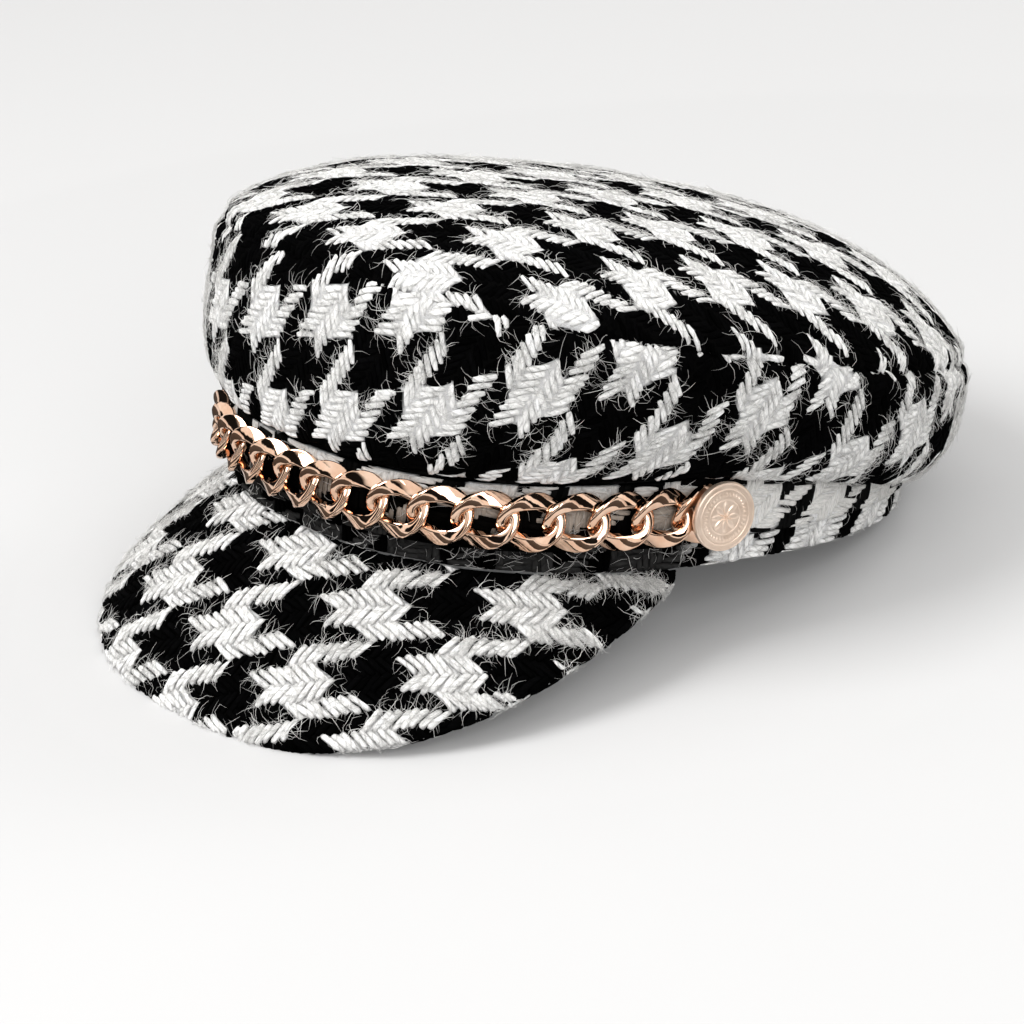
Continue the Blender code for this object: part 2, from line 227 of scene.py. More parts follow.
# %% Sizes of the cap
BAND_LENGTH, BAND_WIDTH, BAND_HEIGHT = 0.198, 0.1686, 0.0270
BAND_WALL, BAND_DIP, BAND_FULLNESS = 0.0025, 0.0023, 2.32
STRAP_HEIGHT, STRAP_WALL, STRAP_BELOW_TOP = 0.0185, 0.0020, 0.0006
GAP, CLOTH = 0.0003, 0.0025
SEAM_FRONT_HEIGHT, SEAM_REAR_HEIGHT = 0.0770, 0.0390
SEAM_REACH = {"front": 0.0056, "side": 0.0155, "rear": 0.0149}
SEAM_FULLNESS, BELLY = 2.20, 0.0028
REAR_SAG, SAG_START, SAG_SPREAD = 0.0150, 0.40, 1.0
DOME_HEIGHT, DOME_LEAN, DOME_TIP = 0.0295, 0.0090, 0.16
PEAK_LENGTH, PEAK_END_LENGTH, PEAK_WALL, PEAK_STAND = 0.0619, 0.0030, 0.0032, 0.0015
PEAK_HALF_ANGLE, PEAK_FRONT_SLOPE, PEAK_END_SLOPE, PEAK_BOW = 76.8, 50.4, 31.0, 9.0
PEAK_SWEEP, PEAK_ROUNDNESS = 0.60, 3
SIDE_SECTIONS = (
    # rise, front, side, rear, belly and sag of each level, from the fold under the cloth up to the seam
    (0, 0, 0, 0, 0, 0.1),
    (0.012, 0.15, 0.06, 0.02, 0, 0.5),
    (0.024, 0.30, 0.12, 0.04, 0.04, 0.88),
    (0.04, 0.45, 0.18, 0.13, 0.12, 1.0),
    (0.07, 0.60, 0.30, 0.32, 0.28, 0.99),
    (0.15, 0.75, 0.55, 0.61, 0.60, 0.86),
    (0.30, 0.90, 0.82, 0.87, 0.90, 0.62),
    (0.52, 1, 0.97, 0.98, 1, 0.30),
    (0.78, 1, 1.02, 1.02, 0.65, 0.12),
    (1, 1, 1, 1, 0, 0),
)
BELLY_SECTION = SIDE_SECTIONS[7]
TOP_RINGS = ((0, 1), (0.17, 0.99), (0.36, 0.945), (0.56, 0.85), (0.73, 0.68), (0.86, 0.47), (0.94, 0.27),
             (0.985, 0.09), (1, 0))
OVER_STRAP = 2 * GAP + STRAP_WALL + CLOTH / 2


def signed_power(value, power):
    return np.sign(value) * np.abs(value) ** power


def smooth_step(share):
    share = np.clip(share, 0, 1)
    return share * share * (3 - 2 * share)


def unit(vectors):
    return vectors / np.maximum(np.linalg.norm(vectors, axis=-1, keepdims=True), 1e-9)


def oval(half_width, half_length, fullness, angle):
    x = half_width * signed_power(np.sin(angle), 2 / fullness)
    y = -half_length * signed_power(np.cos(angle), 2 / fullness)
    return np.stack([x, y, 0 * x], -1)


def band_point(angle, reach=0.0, height=0.0):
    """A point beside the band, reach away from its outside and height above its lower edge."""
    point = oval(BAND_WIDTH / 2 + reach, BAND_LENGTH / 2 + reach, BAND_FULLNESS, angle)
    point[..., 2] += height
    return point


def band_top(angle):
    return BAND_HEIGHT - BAND_DIP * np.maximum(np.cos(angle), 0)


def seam_height(y):
    front = -(BAND_LENGTH / 2 + SEAM_REACH["front"])
    rear = BAND_LENGTH / 2 + SEAM_REACH["rear"]
    return SEAM_FRONT_HEIGHT + (SEAM_REAR_HEIGHT - SEAM_FRONT_HEIGHT) * (y - front) / (rear - front)


def crown_ring(angle, front, side, rear, fullness, share=1.0):
    ring = oval(BAND_WIDTH / 2 + side, BAND_LENGTH / 2 + (front + rear) / 2, fullness, angle) * share
    ring[..., 1] += (rear - front) / 2
    return ring


def side_row(angle, rise, front, side, rear, belly, sag):
    """One level of the side panel, from the fold over the strap to the seam."""
    swell = BELLY * belly * np.maximum(np.cos(angle), 0)
    reach = [OVER_STRAP + (SEAM_REACH[way] - OVER_STRAP) * share + swell
             for way, share in (("front", front), ("side", side), ("rear", rear))]
    row = crown_ring(angle, *reach, BAND_FULLNESS + (SEAM_FULLNESS - BAND_FULLNESS) * rise)
    top = seam_height(row[..., 1])
    fold = band_top(angle) + GAP + CLOTH / 2
    row[..., 2] = fold + (top - fold) * rise
    row[..., 2] -= REAR_SAG * smooth_step((SAG_START - np.cos(angle)) / SAG_SPREAD) * sag
    return row


def top_row(angle, share, rise):
    row = crown_ring(angle, *SEAM_REACH.values(), SEAM_FULLNESS, share)
    row[..., 2] = seam_height(row[..., 1]) + DOME_HEIGHT * rise * (1 - DOME_TIP * share * np.cos(angle))
    row[..., 1] += DOME_LEAN * (1 - share)
    return row


def peak_row(angle, row):
    share = np.abs(angle) / math.radians(PEAK_HALF_ANGLE)
    slope = PEAK_FRONT_SLOPE + (PEAK_END_SLOPE - PEAK_FRONT_SLOPE) * share**2 + PEAK_BOW * (row - 1)
    slope = np.radians(slope)[..., None]
    ahead = np.stack([np.sin(PEAK_SWEEP * angle), -np.cos(PEAK_SWEEP * angle), 0 * angle], -1)
    length = PEAK_END_LENGTH + (PEAK_LENGTH - PEAK_END_LENGTH) * np.maximum(1 - share**PEAK_ROUNDNESS, 0)
    start = band_point(angle, -PEAK_WALL / 2, -GAP - PEAK_STAND)
    up = np.array([0, 0, 1.0])
    return start + (ahead * np.cos(slope) - up * np.sin(slope)) * (length * row)[..., None]


print("band inside:", round((BAND_WIDTH - 2 * BAND_WALL) * 1000, 1), "mm wide")

# %% [markdown]
# A panel's rows come from a few measured sections, so a smooth curve is drawn through them first. It is then
# cut into equal steps, because yarns lie evenly in cloth.

# %% The panel of cloth
COLUMNS = 361
ROUND = np.linspace(-math.pi, math.pi, COLUMNS)
LOST = 1e-12


def at(column, table):
    return np.interp(column, np.arange(len(table)), table)


def run_along(line):
    """How far along a line each of its points lies, counted from its middle point."""
    run = np.concatenate([[0], np.linalg.norm(np.diff(line, axis=0), axis=1).cumsum()])
    return run - run[len(line) // 2]


def smooth_rows(points, fine=400):
    """A Catmull-Rom curve through each column's points."""
    count = points.shape[1]
    place = np.linspace(0, count - 1, fine)
    first = np.minimum(place.astype(int), count - 2)
    t = (place - first)[None, :, None]
    ends = (2 * points[:, :1] - points[:, 1:2], points, 2 * points[:, -1:] - points[:, -2:-1])
    p = np.concatenate(ends, 1)
    a, b, c, d = (p[:, first + k] for k in range(4))
    return 0.5 * (2 * b + (c - a) * t + (2 * a - 5 * b + 4 * c - d) * t**2 + (3 * b - a - 3 * c + d) * t**3)


def row_lengths(points):
    steps = np.linalg.norm(np.diff(points, axis=1), axis=2)
    return np.concatenate([np.zeros((len(points), 1)), steps.cumsum(1)], 1)


def even_rows(points, count):
    """The same curves with their points evenly spaced."""
    even = np.empty((len(points), count, 3))
    for k, (line, gone) in enumerate(zip(points, row_lengths(points))):
        places = np.linspace(0, gone[-1], count)
        for axis in range(3):
            even[k, :, axis] = np.interp(places, gone, line[:, axis])
    return even


class Panel:
    """Cloth as a table: columns go round the cap, rows along the cloth, and facing turns it outwards."""

    def __init__(self, points, closed, facing):
        self.points = points
        self.closed = closed
        self.facing = facing
        self.measure()

    def measure(self):
        p = self.points
        self.length = row_lengths(p)[:, -1]
        if self.closed:
            around = np.concatenate([p[-2:-1], p, p[1:2]])
            across = around[2:] - around[:-2]
        else:
            across = np.gradient(p, axis=0)
        normals = np.cross(across, np.gradient(p, axis=1)) * self.facing
        size = np.linalg.norm(normals, axis=2, keepdims=True)
        self.normals = normals / np.maximum(size, LOST)
        lost = size[..., 0] < LOST
        for row in range(p.shape[1]):
            if lost[:, row].all():
                mean = self.normals[:, 1 if row == 0 else row - 1].mean(0)
                self.normals[:, row] = mean / np.linalg.norm(mean)

    def raise_by(self, relief):
        """Moves the cloth out along its normals, by a table of heights."""
        self.points = self.points + self.normals * relief[..., None]
        self.measure()

    def places(self):
        """The column and the length of every point of the table."""
        columns, rows = self.points.shape[:2]
        share = np.linspace(0, 1, rows)
        return np.arange(columns)[:, None] + 0 * share, self.length[:, None] * share

    def place(self, column, length, height):
        columns, rows = self.points.shape[:2]
        c = np.clip(column, 0, columns - 1.001)
        i = c.astype(int)
        f = c - i
        whole = self.length[i] * (1 - f) + self.length[i + 1] * f
        r = np.clip(length / whole, 0, 1) * (rows - 1)
        j = np.minimum(r.astype(int), rows - 2)
        g = r - j
        f, g = f[..., None], g[..., None]
        out = 0
        for table, times in ((self.points, 1), (self.normals, np.asarray(height)[..., None])):
            near = table[i, j] * (1 - f) + table[i + 1, j] * f
            far = table[i, j + 1] * (1 - f) + table[i + 1, j + 1] * f
            out = out + (near * (1 - g) + far * g) * times
        return out


def crown_panel(make_row, sections, rows, facing):
    points = np.stack([make_row(ROUND, *section) for section in sections], 1)
    return Panel(even_rows(smooth_rows(points), rows), True, facing)


side_panel = crown_panel(side_row, SIDE_SECTIONS, 56, 1)
top_panel = crown_panel(top_row, TOP_RINGS, 64, -1)
print("side panel height in front:", round(side_panel.length[180] * 1000, 1), "mm")
print("top panel, middle to rim:", np.round(top_panel.length[[180, 270, 0]] * 1000, 1), "mm")

# %% [markdown]
# The seam between top and side
#
# The two panels are sewn together and the edges turned in, so the seam is a narrow valley between two soft
# rolls, drawn in unevenly by the stitches. A height that depends on the distance to the seam lifts and lowers
# the tables. Broad, low waves keep the other cloth from looking like a moulded shell.

# %% Shape the seam and the soft unevenness
VALLEY_DEPTH, VALLEY_WIDTH = 0.0013, 0.0017
ROLL_HEIGHT, ROLL_AWAY, ROLL_WIDTH = 0.0007, 0.0045, 0.0028
PUCKER_HEIGHT, PUCKER_WAVES = 0.00022, ((47, 0, 0.45), (83, 0, 0.3))
CLOTH_WAVES = ((3, 30, 0.00025), (7, 70, 0.00018))
FLAT_BY_SEAM, FLAT_BY_START = 0.012, 0.01


def waves(angle, length, seed, amounts):
    """Smooth unevenness as a sum of a few waves: (waves round the cap, waves per metre along, height)."""
    rng = np.random.default_rng(seed)
    total = 0 * angle + 0 * length
    for round_waves, along_waves, height in amounts:
        for k in range(3):
            phase = rng.uniform(0, math.tau, 2)
            turns = round_waves + k
            lean = along_waves * rng.uniform(0.6, 1.4)
            total = total + height * np.sin(turns * angle + phase[0]) * np.cos(lean * length + phase[1])
    return total


def seam_relief(panel, seed):
    _, length = panel.places()
    angle = ROUND[:, None] + 0 * length
    away = panel.length[:, None] - length
    roll = ROLL_HEIGHT + PUCKER_HEIGHT * waves(angle, 0 * length, seed, PUCKER_WAVES)
    relief = -VALLEY_DEPTH * np.exp(-((away / VALLEY_WIDTH) ** 2))
    relief += roll * np.exp(-(((away - ROLL_AWAY) / ROLL_WIDTH) ** 2))
    relief += waves(angle, length, seed + 1, CLOTH_WAVES) * smooth_step(away / FLAT_BY_SEAM)
    return relief * smooth_step(length / FLAT_BY_START)


side_panel.raise_by(seam_relief(side_panel, 11))
top_panel.raise_by(seam_relief(top_panel, 21))
print("seam valley shaped on", side_panel.points.shape[0], "columns")

# %% [markdown]
# The peak, the band and the strap
#
# The peak is a board between two layers of tweed, whose edge the cloth wraps. Its table goes from the band
# down the upper face, round the edge and back along the underside. Band and strap are plain upright rings.

# %% The panels of the peak, the band and the strap
PEAK_COLUMNS = 181
PEAK_ANGLES = np.radians(np.linspace(-PEAK_HALF_ANGLE, PEAK_HALF_ANGLE, PEAK_COLUMNS))
PEAK_INSET = 0.0006


def peak_skin(middle, half_wall):
    """The upper face, the rounded edge and the underside as one table."""
    p, n = middle.points, middle.normals
    out = unit(p[:, -1] - p[:, -2])
    turns = np.linspace(0, math.pi, 9)[1:-1]
    edge = [p[:, -1] + (n[:, -1] * math.cos(t) + out * math.sin(t)) * half_wall for t in turns]
    low = (p - n * half_wall)[:, ::-1]
    return np.concatenate([p + n * half_wall, np.stack(edge, 1), low], 1)


def upright_panel(reach, low, height, rows):
    points = [band_point(ROUND, reach, low + height * share) for share in np.linspace(0, 1, rows)]
    return Panel(np.stack(points, 1), True, 1)


peak_rows = [peak_row(PEAK_ANGLES, share) for share in np.linspace(0, 1, 31)]
peak_middle = Panel(np.stack(peak_rows, 1), False, -1)
peak_panel = Panel(even_rows(peak_skin(peak_middle, PEAK_WALL / 2 - PEAK_INSET), 120), False, -1)
band_panel = upright_panel(-BAND_WALL / 2, 0, BAND_HEIGHT, 16)
strap_low = band_top(ROUND) - STRAP_BELOW_TOP - STRAP_HEIGHT
strap_panel = upright_panel(GAP + STRAP_WALL / 2, strap_low, STRAP_HEIGHT, 14)
print("peak, band to edge and back:", round(peak_panel.length[90] * 1000, 1), "mm")

# %% [markdown]
# Laying cloth out flat
#
# Tweed is woven flat and cut to a pattern, so its yarns run straight across the flat piece and curve with the
# panel once it is sewn. For each panel, a spread function turns a column and a length into a flat point, and
# a find function goes back. The top panel is opened out from its middle, the side panel is a piece of a wide
# ring, and the peak is unrolled strip by strip.

# %% The flat pattern pieces
SIDE_RADIUS = 0.547
belly = run_along(side_row(ROUND, *BELLY_SECTION))


def side_spread(column, length):
    turn = at(column, belly) / SIDE_RADIUS
    reach = SIDE_RADIUS + length
    return reach * np.sin(turn), reach * np.cos(turn) - SIDE_RADIUS


def side_find(x, y):
    turn = np.arctan2(x, SIDE_RADIUS + y)
    length = np.hypot(x, SIDE_RADIUS + y) - SIDE_RADIUS
    inside = np.abs(turn * SIDE_RADIUS) < belly[-1]
    return np.interp(turn * SIDE_RADIUS, belly, np.arange(COLUMNS)), length, inside


rim = crown_ring(ROUND, *SEAM_REACH.values(), SEAM_FULLNESS)
rim[:, 1] -= (SEAM_REACH["rear"] - SEAM_REACH["front"]) / 2
rim_turn = np.unwrap(np.arctan2(rim[:, 0], -rim[:, 1]))


def top_spread(column, length):
    turn = at(column, rim_turn)
    return length * np.sin(turn), -length * np.cos(turn)


def top_find(x, y):
    turn = np.arctan2(x, -y)
    return np.interp(turn, rim_turn, np.arange(COLUMNS)), np.hypot(x, y), np.ones(x.shape, bool)


def unroll(inner, outer):
    """Lays a fan of strips flat, one after another from the middle, with every edge's length kept."""
    middle = len(inner) // 2
    flat = np.zeros((len(inner), 2, 2))
    flat[middle, 1] = (0, -np.linalg.norm(outer[middle] - inner[middle]))

    def corner(a, b, from_a, from_b, side):
        line = b - a
        size = np.hypot(*line)
        along = (from_a**2 - from_b**2 + size**2) / (2 * size)
        off = math.sqrt(max(from_a**2 - along**2, 0)) * side
        return a + line / size * along + np.array([-line[1], line[0]]) / size * off

    for step in (1, -1):
        for k in range(middle, len(inner) - 1 if step == 1 else 0, step):
            n = k + step
            gaps = [np.linalg.norm(p[n] - q[k]) for p in (inner, outer) for q in (inner, outer)]
            flat[n, 0] = corner(flat[k, 0], flat[k, 1], gaps[0], gaps[1], step)
            whole = np.linalg.norm(outer[n] - inner[n])
            flat[n, 1] = corner(flat[n, 0], flat[k, 1], whole, gaps[3], step)
    return flat


peak_flat = unroll(peak_middle.points[:, 0], peak_middle.points[:, -1])
peak_start = peak_flat[:, 0]
peak_way = unit(peak_flat[:, 1] - peak_start)


def peak_spread(column, length):
    return [at(column, peak_start[:, k]) + at(column, peak_way[:, k]) * length for k in range(2)]


def peak_find(x, y):
    shape = x.shape
    x, y = x.ravel(), y.ravel()
    to_x, to_y = x[:, None] - peak_start[:, 0], y[:, None] - peak_start[:, 1]
    side = peak_way[:, 0] * to_y - peak_way[:, 1] * to_x
    right = side > 0
    last = np.clip(right.sum(1) - 1, 0, PEAK_COLUMNS - 2)
    every = np.arange(len(x))
    near, far = side[every, last], side[every, last + 1]
    share = np.clip(near / np.where(near == far, 1, near - far), 0, 1)
    inside = right[:, 0] & ~right[:, -1]
    column = last + share
    start, way = (np.stack([at(column, t[:, k]) for k in range(2)], 1) for t in (peak_start, peak_way))
    length = ((np.stack([x, y], 1) - start) * way).sum(1)
    return column.reshape(shape), length.reshape(shape), inside.reshape(shape)


def peak_find_below(x, y):
    """The same flat piece laid on the underside of the peak, which the table reaches from its far end."""
    column, length, inside = peak_find(x, y)
    return column, at(column, peak_panel.length) - length, inside


def strip_pattern(panel):
    run = run_along(panel.points[:, panel.points.shape[1] // 2])

    def spread(column, length):
        return at(column, run), length

    def find(x, y):
        return np.interp(x, run, np.arange(COLUMNS)), y, np.abs(x) < run[-1]

    return spread, find


print("belly, half way round:", round(belly[-1] * 1000, 1), "mm")

# %% [markdown]
# The weave
#
# A plain rule makes the broken check of a houndstooth: eight white and eight black yarns, again and again,
# along the cloth and across it, in a twill where each yarn goes over four and under four, a step further on
# each row. Every yarn length that shows on top, a float, is built as one small closed body, because these
# yarns are nearly 2 mm thick and cast shadows on each other.

# %% The rule of the houndstooth
REPEAT, SHADE_RUN, OVER = 16, 8, 4
TWILL_PHASE = 3
CHECK_CORNER = 8
YARNS_EACH_WAY, FLOAT_YARNS, FLOAT_REPEATS = 230, 190, 50
TIGHTEST, LOOSEST = 0.82, 1.2


class Weave:
    """Yarns on the flat cloth. Warp yarns run up it, counted by i, and weft yarns run across, by j."""

    def __init__(self, corner, grain, warp_pitch, weft_pitch, drift=0.0):
        self.corner = corner
        self.cos, self.sin = math.cos(math.radians(grain)), math.sin(math.radians(grain))
        self.pitch = weft_pitch
        self.i = np.arange(-YARNS_EACH_WAY, YARNS_EACH_WAY + 1)
        pitch = warp_pitch - drift * (self.i - CHECK_CORNER) * warp_pitch
        pitch = np.clip(pitch, warp_pitch * TIGHTEST, warp_pitch * LOOSEST)
        run = np.concatenate([[0], (pitch[1:] + pitch[:-1]).cumsum() / 2])
        self.run = run - np.interp(CHECK_CORNER, self.i, run)

    def flat(self, i, j):
        s = np.interp(i, self.i, self.run)
        t = (j - CHECK_CORNER) * self.pitch
        x, y = self.corner
        return x + s * self.cos - t * self.sin, y + s * self.sin + t * self.cos

    def count(self, x, y):
        """The yarns that cross at a flat point."""
        x, y = x - self.corner[0], y - self.corner[1]
        i = np.interp(x * self.cos + y * self.sin, self.run, self.i)
        return i, CHECK_CORNER + (y * self.cos - x * self.sin) / self.pitch


def is_white(count):
    return np.mod(np.floor(count), REPEAT) < SHADE_RUN


def top_is_white(i, j):
    over = np.mod(np.floor(j) - np.floor(i) + TWILL_PHASE, 2 * OVER) < OVER
    return np.where(over, is_white(i), is_white(j))


def floats():
    """Every float near the cloth: the yarn's own count, where the float starts, and whether it is warp."""
    ranges = (np.arange(-most, most) for most in (FLOAT_YARNS, FLOAT_REPEATS))
    yarn, k = (a.ravel() for a in np.meshgrid(*ranges))
    warp_start = yarn - TWILL_PHASE + 2 * OVER * k
    weft_start = yarn + TWILL_PHASE + 1 + 2 * OVER * k
    warp = np.repeat([True, False], len(yarn))
    return np.concatenate([yarn, yarn]), np.concatenate([warp_start, weft_start]), warp


print("yarns in a repeat:", REPEAT, "white ones:", int(is_white(np.arange(REPEAT)).sum()))

# %% [markdown]
# One float
#
# The float starts as a four-sided cylinder, cut across into stations. Its section is a low arch, widest at
# the bottom, and its ends dive into the cloth. It is modelled once, and each copy is bent on to the cloth.

# %% Model one float
def mode(name):
    bpy.ops.object.mode_set(mode=name)


def deselect():
    if bpy.context.mode != "OBJECT":
        mode("OBJECT")
    bpy.ops.object.select_all(action="DESELECT")


def tube_pattern(sides, cuts):
    """A straight closed tube from a cylinder: each point's station and turn, and the faces."""
    deselect()
    bpy.ops.mesh.primitive_cylinder_add(vertices=sides, radius=1, depth=1, end_fill_type="NGON")
    tube = bpy.context.object
    mode("EDIT")
    bpy.ops.mesh.select_mode(type="EDGE")
    bpy.ops.mesh.select_all(action="DESELECT")
    mode("OBJECT")
    points = [v.co.copy() for v in tube.data.vertices]
    for edge in tube.data.edges:
        low, high = (points[v] for v in edge.vertices)
        edge.select = abs(low.z - high.z) > 0.5
    mode("EDIT")
    bpy.ops.mesh.subdivide(number_cuts=cuts)
    mode("OBJECT")
    co = np.array([v.co for v in tube.data.vertices])
    station = np.rint((co[:, 2] + 0.5) * (cuts + 1)).astype(int)
    angle = np.mod(np.arctan2(co[:, 1], co[:, 0]), math.tau)
    turn = np.rint(angle / (math.tau / sides)).astype(int) % sides
    faces = [list(f.vertices) for f in tube.data.polygons]
    bpy.data.objects.remove(tube)
    return station, turn, faces


FLOAT_SIDES, FLOAT_STATIONS = 4, 6
FLOAT_STATION, FLOAT_TURN, FLOAT_FACES = tube_pattern(FLOAT_SIDES, FLOAT_STATIONS - 2)
FLOAT_ALONG = np.array([-0.05, 0.09, 0.32, 0.68, 0.91, 1.05])[FLOAT_STATION]
FLOAT_RISE = np.array([-0.5, 0.55, 1.0, 1.0, 0.55, -0.5])[FLOAT_STATION]
FLOAT_WIDTH = np.array([0.8, 1, 1, 1, 1, 0.8])[FLOAT_STATION]
FLOAT_ACROSS = np.array([1.0, 0.52, -0.52, -1.0])[FLOAT_TURN] * FLOAT_WIDTH
FLOAT_LOW = np.array([1.0, 0.0, 0.0, 1.0])[FLOAT_TURN]
# Painted shade: the colour darkens towards the float's ends, where it dives into the cloth.
FLOAT_END_PAINTED_SHADE = np.array([0.5, 0.9, 1.0, 1.0, 0.9, 0.5])[FLOAT_STATION]
FLOAT_TRIANGLES = sum(len(face) - 2 for face in FLOAT_FACES)
print("one float:", len(FLOAT_STATION), "points,", len(FLOAT_FACES), "faces")

# %% [markdown]
# The copies become two objects for each panel, the black yarns and the white ones. No two yarns are alike, so
# each float gets its own width, height, sideways wander and shade from a seeded random generator.

# %% Lay the floats on a panel
WHITE_DYE, BLACK_DYE, DYE_LIMITS = (0.91, 0.905, 0.89), (0.0011, 0.0011, 0.0012), (0.0005, 0.95)
FLOAT_SUNK, WANDER, START_SPREAD, WIDTH_UNEVEN = 0.0005, 0.12, 0.06, 0.07
# how far yarns wave to the side, in yarns, with the turn for each yarn crossed and the phase
WARP_WAVES, WEFT_WAVES = ((0.16, 0.41, 1), (0.10, 0.93, 2)), ((0.16, 0.37, 3), (0.10, 0.89, 1))


class Cloth:
    """A panel with its flat piece and its weave, and the objects that are made from them."""

    def __init__(self, name, panel, spread, find, weave):
        self.name = name
        self.panel = panel
        self.spread = spread
        self.find = find
        self.weave = weave
        self.wall = None
        self.pile = []


def new_mesh(name, points, faces, finish):
    mesh = bpy.data.meshes.new(name)
    mesh.from_pydata(lay(points).tolist(), [], faces)
    mesh.update()
    obj = bpy.data.objects.new(name, mesh)
    bpy.context.collection.objects.link(obj)
    mesh.materials.append(finish)
    mesh.polygons.foreach_set("use_smooth", np.ones(len(mesh.polygons), bool))
    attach(obj, "root")
    return obj


def paint(obj, dye):
    layer = obj.data.color_attributes.new("dye", "FLOAT_COLOR", "POINT")
    colours = np.concatenate([dye, np.ones((len(dye), 1))], 1)
    layer.data.foreach_set("color", colours.astype(np.float32).ravel())


def map_yarns(obj, along, around):
    """A UV map whose U runs along each yarn and V round it."""
    loops = np.empty(len(obj.data.loops), int)
    obj.data.loops.foreach_get("vertex_index", loops)
    uv = np.stack([along[loops], around[loops]], 1)
    obj.data.uv_layers.new(name="yarn").data.foreach_set("uv", uv.astype(np.float32).ravel())


def many(faces, points_each, copies):
    return [[v + k * points_each for v in face] for k in range(copies) for face in faces]


def lay_floats(cloth, seed, finish=yarn_wool, limits=(0, 1), height=0.00058, base=0.0003,
               dyes=(WHITE_DYE, BLACK_DYE), wider=1.05, ends=1.0, tint=None, name=None, find=None, side=1):
    """Builds a panel's floats between two shares of its length, as a white and a black object."""
    name, find = name or cloth.name, find or cloth.find
    panel, weave = cloth.panel, cloth.weave
    yarn, start, warp = floats()
    middle = np.where(warp, yarn + 0.5, start + OVER / 2), np.where(warp, start + OVER / 2, yarn + 0.5)
    column, length, inside = find(*weave.flat(*middle))
    whole = at(column, panel.length)
    reach = 0.6 * weave.pitch
    keep = inside & (length > whole * limits[0] - reach) & (length < whole * limits[1] + reach)
    yarn, start, warp = yarn[keep], start[keep], warp[keep]
    count = len(yarn)
    rng = np.random.default_rng(seed)
    width, tall, long = (1 + rng.uniform(-spread, spread, (count, 1)) for spread in (0.10, 0.14, 0.05))
    drift, bend = rng.normal(0, WANDER, (count, 1)), rng.normal(0, WANDER, (count, 1))
    along = start[:, None] + OVER * (0.5 + (FLOAT_ALONG - 0.5) * long)
    along = along + rng.normal(0, START_SPREAD, (count, 1))
    uneven = (1 + rng.normal(0, WIDTH_UNEVEN, (count, FLOAT_STATIONS)))[:, FLOAT_STATION]
    across = 0.5 * FLOAT_ACROSS * wider * width * uneven + drift + bend * (FLOAT_ALONG - 0.5) * 2
    warp_column = warp[:, None]
    i = np.where(warp_column, yarn[:, None] + 0.5 + across, along)
    j = np.where(warp_column, along, yarn[:, None] + 0.5 - across)
    for wide, turns, phase in WARP_WAVES:
        i = i + wide * np.sin(j * turns + phase * seed)
    for wide, turns, phase in WEFT_WAVES:
        j = j + wide * np.sin(i * turns + phase * seed)
    column, length, _ = find(*weave.flat(i, j))
    whole = at(column, panel.length)
    length = np.clip(length, whole * limits[0], whole * limits[1])
    lift = base + height * tall * FLOAT_RISE - FLOAT_SUNK * FLOAT_LOW
    points = panel.place(column, length, lift)
    order = [face[::-1] for face in FLOAT_FACES] if side < 0 else FLOAT_FACES
    pale = is_white(yarn)
    for shade, chosen, colour, spread in (("white", pale, dyes[0], 0.035), ("black", ~pale, dyes[1], 0.3)):
        copies = int(chosen.sum())
        faces = many(order, len(FLOAT_STATION), copies)
        obj = new_mesh(f"{name}_{shade}_yarns", points[chosen].reshape(-1, 3), faces, finish)
        # Painted shade at the float ends, weaker where ends is small, times each float's random tone.
        tone_and_painted_end_shade = rng.normal(1, spread, (copies, 1)) * FLOAT_END_PAINTED_SHADE**ends
        dye = tone_and_painted_end_shade.ravel()[:, None] * np.array(colour)
        if tint:
            dye = dye * tint(column[chosen].ravel(), (length / whole)[chosen].ravel())
        paint(obj, dye.clip(*DYE_LIMITS))
        start_at = rng.uniform(0, 50, (copies, 1))
        around = FLOAT_TURN / FLOAT_SIDES + start_at * 7
        map_yarns(obj, (FLOAT_ALONG + start_at).ravel(), around.ravel())
        cloth.pile.append(obj)
    print(f"{name}: {count} floats, {count * FLOAT_TRIANGLES} triangles")


# %% [markdown]
# The cloth under the yarns
#
# Under the floats lies the cloth itself, a thin closed wall. It fills the gaps between yarns and is what is
# seen inside the cap. Its dye follows the weave: light between white yarns, dark between black ones.

# %% Make a panel's wall
GAP_DYE, WHITE_CROSSING_DYE, INSIDE_DYE = 0.002, 0.75, 0.006
WALL_UV_STEP, WELD = 0.9, 1e-6


def face_outwards(obj, weld=None):
    """Turns the faces of a closed mesh outwards, after points closer than weld are joined."""
    deselect()
    obj.select_set(True)
    bpy.context.view_layer.objects.active = obj
    mode("EDIT")
    bpy.ops.mesh.select_all(action="SELECT")
    if weld:
        bpy.ops.mesh.remove_doubles(threshold=weld)
    bpy.ops.mesh.normals_make_consistent(inside=False)
    mode("OBJECT")


